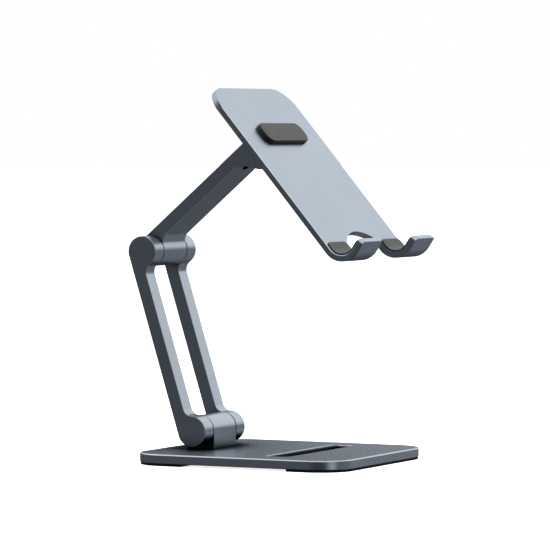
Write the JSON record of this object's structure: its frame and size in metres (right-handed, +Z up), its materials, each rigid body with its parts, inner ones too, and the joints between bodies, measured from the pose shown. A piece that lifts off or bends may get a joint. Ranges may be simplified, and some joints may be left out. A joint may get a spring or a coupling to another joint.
{
  "type": "folding phone stand",
  "caption": "Desk stand for a phone: flat base, two-bar lower arm and upper arm on friction hinges, and a tilting cradle plate with two front hooks.",
  "frame": {"origin": "on the desk, under the centre of the whole stand's bounding box at rest", "axes": "+Z up, +X to the user's right along every hinge axis, +Y away from the user"},
  "size_m": [0.0928, 0.1206, 0.1602],
  "materials": {
    "anodised_base": "satin anodised, fine bead-blasted grain",
    "anodised_arms": "satin anodised, fine bead-blasted grain",
    "anodised_cradle": "satin anodised, fine bead-blasted grain",
    "grey_silicone": "matte silicone",
    "black_silicone": "matte silicone",
    "steel_screws": "dark zinc",
    "steel_shafts": "ground steel",
    "spring_steel": "oiled spring steel",
    "polymer_washers": "black acetal"
  },
  "bodies": {
    "base": {"base_plate": "anodised_base", "slot_liner": "black_silicone", "front_foot_pad": "black_silicone", "rear_foot_pad": "black_silicone", "hinge_block": "anodised_arms", "hinge_block_screws": "steel_screws", "base_hinge_sleeve": "spring_steel"},
    "lower_arm": {"lower_arm_left": "anodised_arms", "lower_arm_right": "anodised_arms", "base_hinge_shaft": "steel_shafts", "base_hinge_washers": "polymer_washers", "base_hinge_set_screws": "steel_screws", "elbow_shaft": "steel_shafts", "elbow_washers": "polymer_washers", "elbow_set_screws": "steel_screws"},
    "upper_arm": {"upper_arm": "anodised_arms", "elbow_sleeve": "spring_steel", "head_hinge_pin": "steel_shafts", "head_hinge_washers": "polymer_washers", "head_pin_set_screws": "steel_screws"},
    "cradle": {"cradle_plate": "anodised_cradle", "head_bracket": "anodised_arms", "bracket_screws": "steel_screws", "device_pad": "grey_silicone", "left_hook_pad": "grey_silicone", "right_hook_pad": "grey_silicone", "head_hinge_sleeve": "spring_steel"}
  },
  "joints": [
    {"name": "base_hinge", "type": "hinge", "parent": "base", "child": "lower_arm", "pos_m": [0, 0.0292, 0.01282], "axis": [1, 0, 0], "range_deg": [-25, 40]},
    {"name": "elbow", "type": "hinge", "parent": "lower_arm", "child": "upper_arm", "pos_m": [0, 0.05334, 0.08995], "axis": [1, 0, 0], "range_deg": [-150, 10]},
    {"name": "head_hinge", "type": "hinge", "parent": "upper_arm", "child": "cradle", "pos_m": [0, 0.00058, 0.13303], "axis": [1, 0, 0], "range_deg": [0, 88]}
  ]
}
